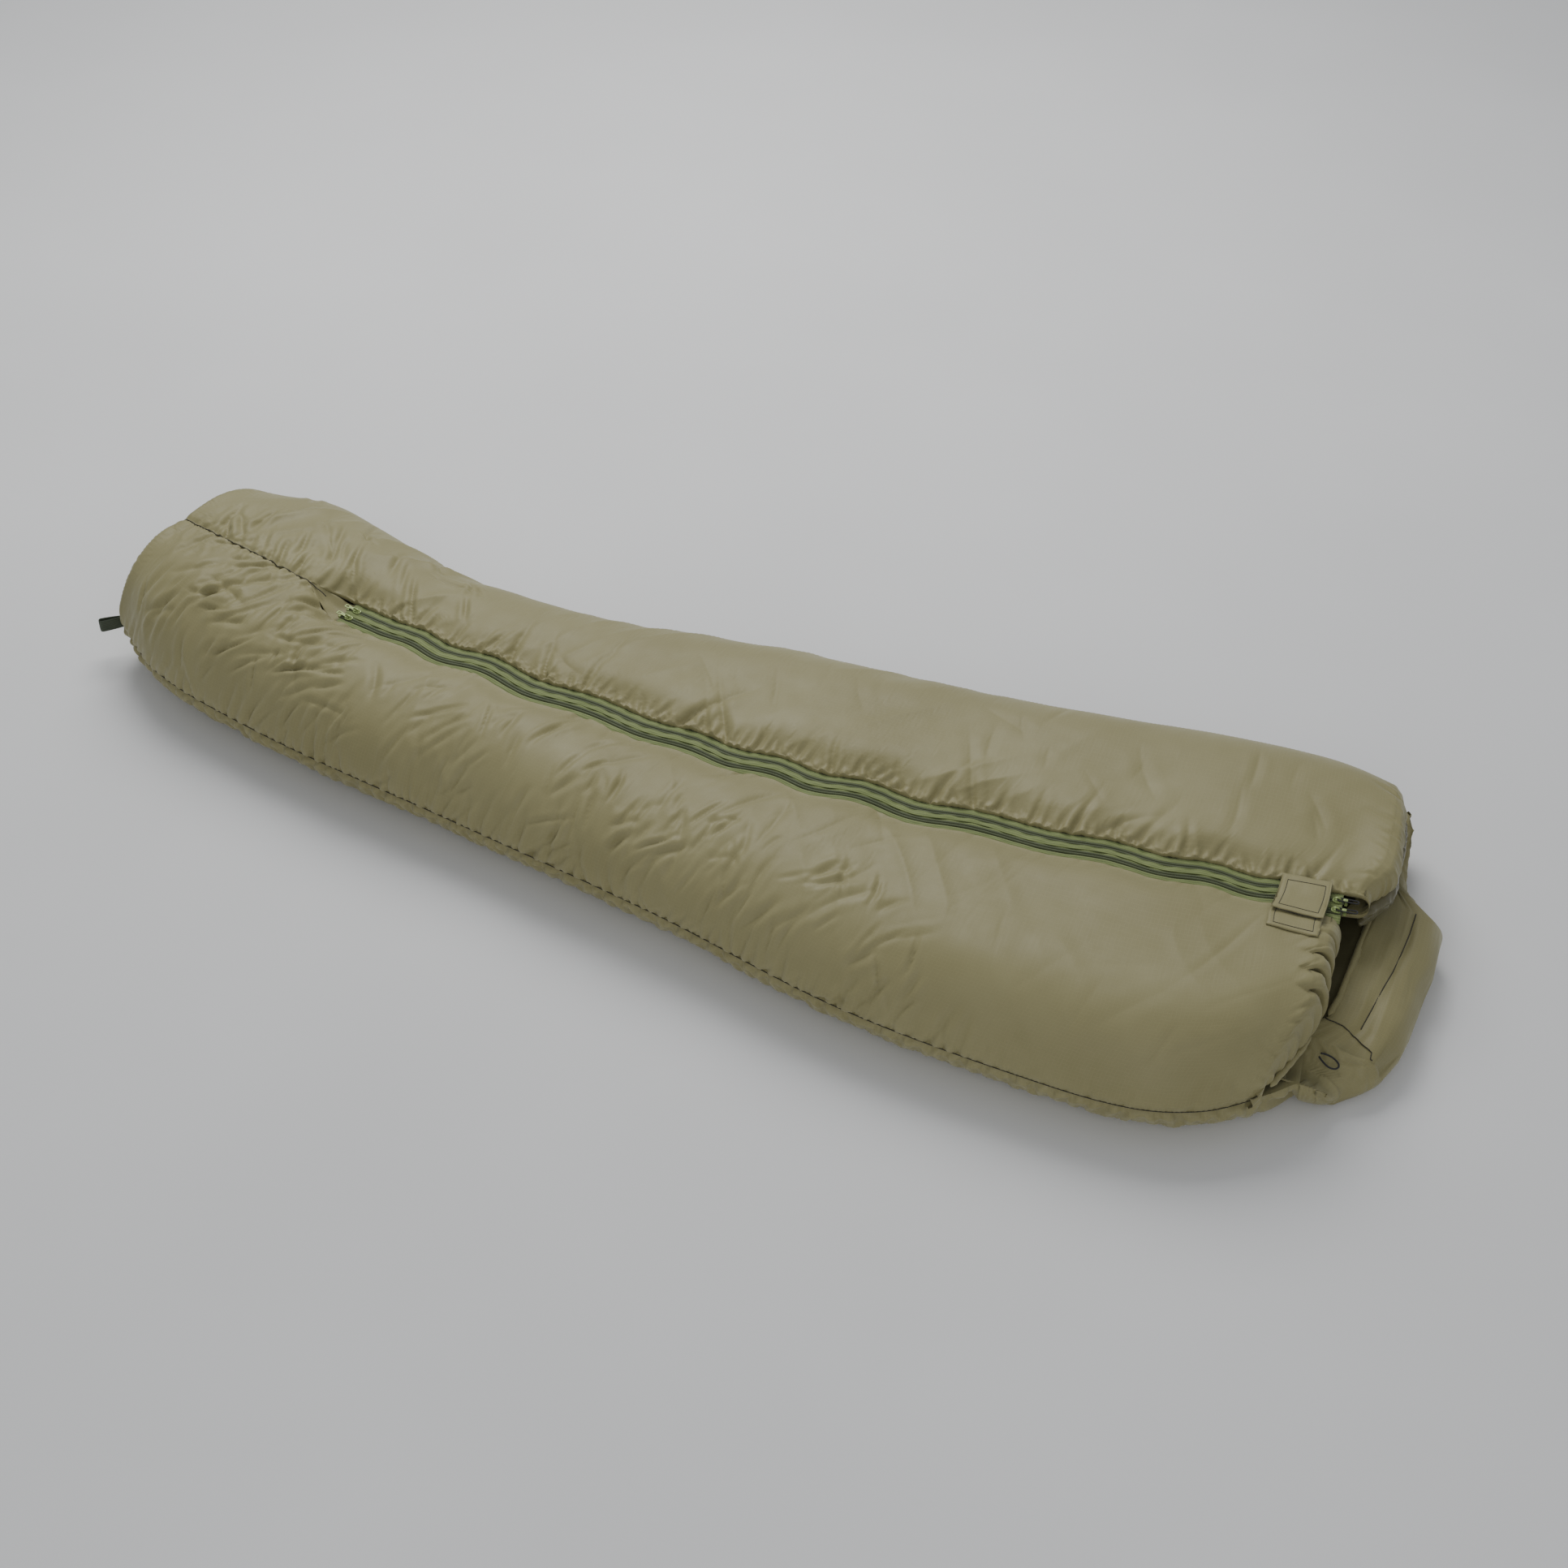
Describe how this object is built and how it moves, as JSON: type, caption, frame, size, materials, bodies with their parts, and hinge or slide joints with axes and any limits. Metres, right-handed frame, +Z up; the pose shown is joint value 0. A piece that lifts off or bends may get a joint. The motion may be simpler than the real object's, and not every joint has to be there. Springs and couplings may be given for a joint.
{
  "type": "padded mummy sleeping bag",
  "caption": "Padded mummy sleeping bag lying closed: quilted shell, filling and lining, a double centre zip, fold-back top, closing tab, drawcord hood and foot loop.",
  "frame": {"origin": "middle of the bag's box at ground level, the bag lying on its base", "axes": "+X along the bag from foot to head, +Y towards the far side (the side of the half that folds back), +Z up"},
  "size_m": [2.2059, 0.7738, 0.2089],
  "materials": {
    "olive_nylon": "khaki olive nylon cloth with a satin sheen",
    "white_filling": "white synthetic filling",
    "dark_olive_lining": "dark olive lining cloth, slightly shiny",
    "green_zip_tape": "woven mid green tape, matt",
    "dark_green_coil": "dark green moulded coil",
    "light_green_slider": "light green paint, satin",
    "hook_and_loop": "dark olive hook and loop, matt",
    "black_cord": "black braided cord",
    "dark_green_webbing": "dark green woven webbing, matt"
  },
  "bodies": {
    "bag": {"base_shell": "olive_nylon", "base_fill": "white_filling", "base_lining": "dark_olive_lining", "near_top_shell": "olive_nylon", "near_top_fill": "white_filling", "near_top_lining": "dark_olive_lining", "far_side_shell": "olive_nylon", "far_side_fill": "white_filling", "far_side_lining": "dark_olive_lining", "foot_end_shell": "olive_nylon", "foot_end_fill": "white_filling", "foot_end_lining": "dark_olive_lining", "coil_a_near_half": "dark_green_coil", "coil_b_far_half": "dark_green_coil", "coil_b_near_half": "dark_green_coil", "coil_a_foot_stub": "dark_green_coil", "zip_tape_centre": "green_zip_tape", "zip_tape_near": "green_zip_tape", "zip_tape_foot_stub": "green_zip_tape", "draft_tube": "dark_olive_lining", "bottom_stop_a": "light_green_slider", "bottom_stop_b": "light_green_slider", "top_stop_a": "light_green_slider", "top_stop_b": "light_green_slider", "zip_gusset": "dark_olive_lining", "under_tab": "olive_nylon", "loop_strip": "hook_and_loop", "near_collar_hem": "olive_nylon", "near_collar_elastic": "black_cord"},
    "far_flap": {"far_flap_shell": "olive_nylon", "far_flap_fill": "white_filling", "far_flap_lining": "dark_olive_lining", "coil_a_far_half": "dark_green_coil", "zip_tape_far": "green_zip_tape", "far_collar_hem": "olive_nylon", "far_collar_elastic": "black_cord"},
    "closure_tab": {"closure_tab": "olive_nylon", "hook_strip": "hook_and_loop"},
    "hood": {"hood_shell": "olive_nylon", "hood_fill": "white_filling", "hood_lining": "dark_olive_lining", "hood_rim_channel": "olive_nylon", "hood_drawcord": "black_cord", "hood_cord_loop": "black_cord"},
    "foot_loop": {"foot_hang_loop": "dark_green_webbing"},
    "slider_a_head": {"slider_a_head": "light_green_slider"},
    "pull_a_head": {"pull_a_head": "black_cord"},
    "slider_b_head": {"slider_b_head": "light_green_slider"},
    "pull_b_head": {"pull_b_head": "black_cord"},
    "slider_a_foot": {"slider_a_foot": "light_green_slider"},
    "pull_a_foot": {"pull_a_foot": "light_green_slider"},
    "slider_b_foot": {"slider_b_foot": "light_green_slider"},
    "pull_b_foot": {"pull_b_foot": "light_green_slider"}
  },
  "joints": [
    {"name": "far_flap_fold", "type": "hinge", "parent": "bag", "child": "far_flap", "pos_m": [0.16864, 0.1827, 0.195], "axis": [-0.9835, -0.1811, 0], "range_deg": [0, 110]},
    {"name": "closure_tab_lift", "type": "hinge", "parent": "far_flap", "child": "closure_tab", "pos_m": [0.90079, 0.05722, 0.1743], "axis": [-0.9882, -0.1531, 0], "range_deg": [0, 150]},
    {"name": "hood_lift", "type": "hinge", "parent": "bag", "child": "hood", "pos_m": [0.9869, 0.0137, 0.075], "axis": [0, -1, 0], "range_deg": [0, 45]},
    {"name": "foot_loop_swing", "type": "hinge", "parent": "bag", "child": "foot_loop", "pos_m": [-1.07277, -0.05904, 0.062], "axis": [0, 0, 1], "range_deg": [-35, 35]},
    {"name": "slider_a_head_run", "type": "hinge", "parent": "bag", "child": "slider_a_head", "pos_m": [0.1019, 5.2137, 0], "axis": [0, 0, 1], "range_deg": [-17.2, 0]},
    {"name": "slider_a_foot_run", "type": "hinge", "parent": "bag", "child": "slider_a_foot", "pos_m": [0.1019, 5.2137, 0], "axis": [0, 0, 1], "range_deg": [0, 17.2]},
    {"name": "pull_a_head_lift", "type": "hinge", "parent": "slider_a_head", "child": "pull_a_head", "pos_m": [0.95448, 0.03339, 0.1684], "axis": [0.1624, -0.9867, 0], "range_deg": [0, 95]},
    {"name": "pull_a_foot_lift", "type": "hinge", "parent": "slider_a_foot", "child": "pull_a_foot", "pos_m": [-0.64908, 0.01769, 0.1684], "axis": [0.143, 0.9897, 0], "range_deg": [0, 150]},
    {"name": "slider_b_head_run", "type": "hinge", "parent": "bag", "child": "slider_b_head", "pos_m": [0.1019, 5.2137, 0], "axis": [0, 0, 1], "range_deg": [-17.2, 0]},
    {"name": "slider_b_foot_run", "type": "hinge", "parent": "bag", "child": "slider_b_foot", "pos_m": [0.1019, 5.2137, 0], "axis": [0, 0, 1], "range_deg": [0, 17.2]},
    {"name": "pull_b_head_lift", "type": "hinge", "parent": "slider_b_head", "child": "pull_b_head", "pos_m": [0.95772, 0.01366, 0.1684], "axis": [0.1624, -0.9867, 0], "range_deg": [0, 95]},
    {"name": "pull_b_foot_lift", "type": "hinge", "parent": "slider_b_foot", "child": "pull_b_foot", "pos_m": [-0.65194, -0.00211, 0.1684], "axis": [0.143, 0.9897, 0], "range_deg": [0, 150]}
  ]
}
